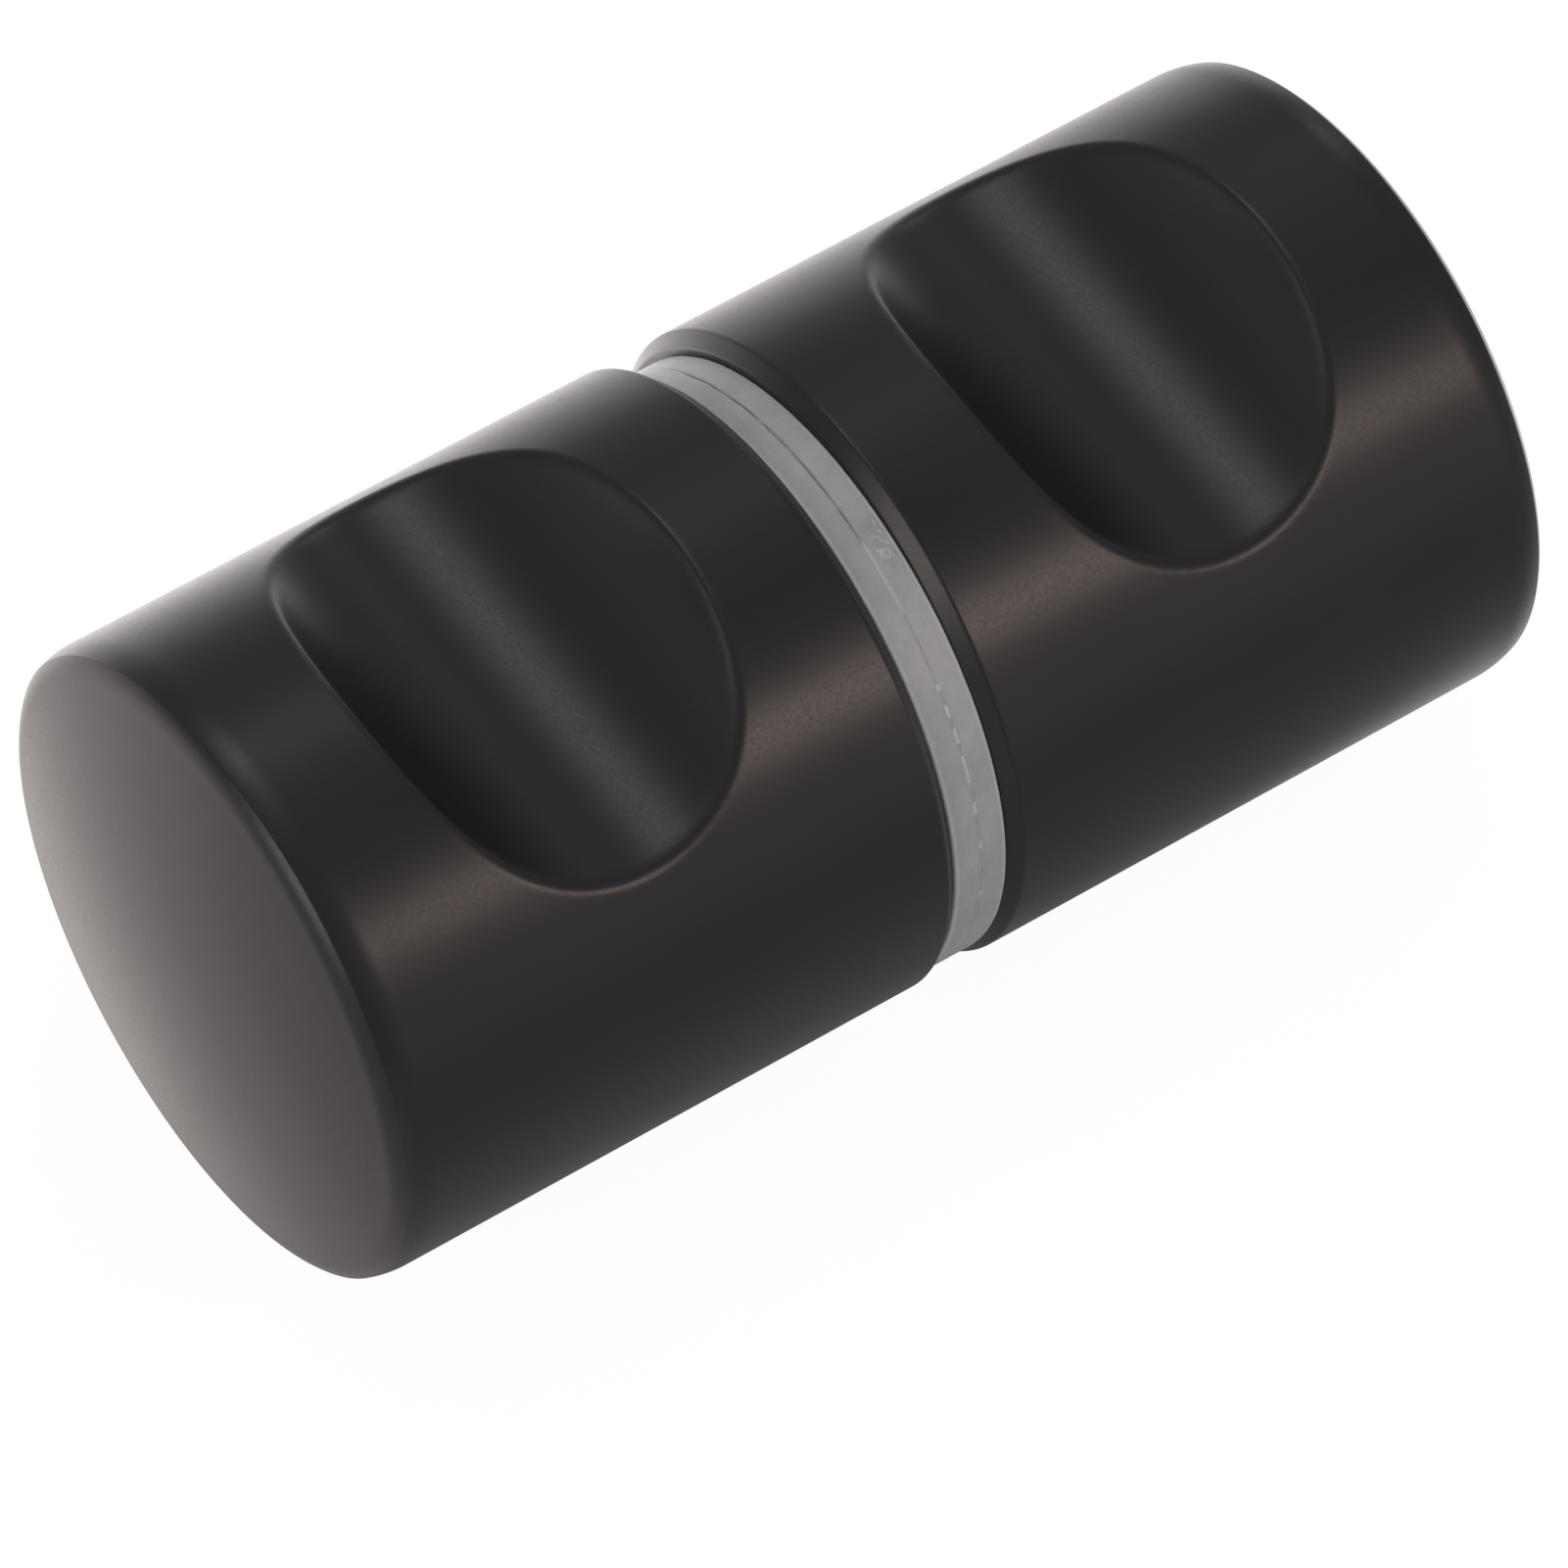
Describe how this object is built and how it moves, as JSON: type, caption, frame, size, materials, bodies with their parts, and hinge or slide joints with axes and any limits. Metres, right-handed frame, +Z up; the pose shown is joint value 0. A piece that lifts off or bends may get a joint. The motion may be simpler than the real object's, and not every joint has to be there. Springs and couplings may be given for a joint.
{
  "type": "shower door handle",
  "caption": "Back-to-back pair of matte black cylindrical pull knobs for a glass shower door, with scooped finger recesses and clear gaskets between them.",
  "frame": {"origin": "the middle of the plane where the two gaskets meet, on the screw's axis, which is the middle of the glass when it is fitted", "axes": "+Y runs along the screw's axis from the front knob to the rear knob, square to the glass; +Z is up, and the finger recesses face +Z and -Z; +X is to the right of a person in front of the door, looking along +Y"},
  "size_m": [0.03, 0.0636, 0.03],
  "materials": {
    "knob": "satin",
    "gasket": "satin",
    "stud": "satin",
    "sleeve": "matte"
  },
  "bodies": {
    "root": {"front_knob": "knob", "rear_knob": "knob", "front_gasket": "gasket", "rear_gasket": "gasket", "connecting_stud": "stud", "glass_sleeve": "sleeve"}
  },
  "joints": []
}
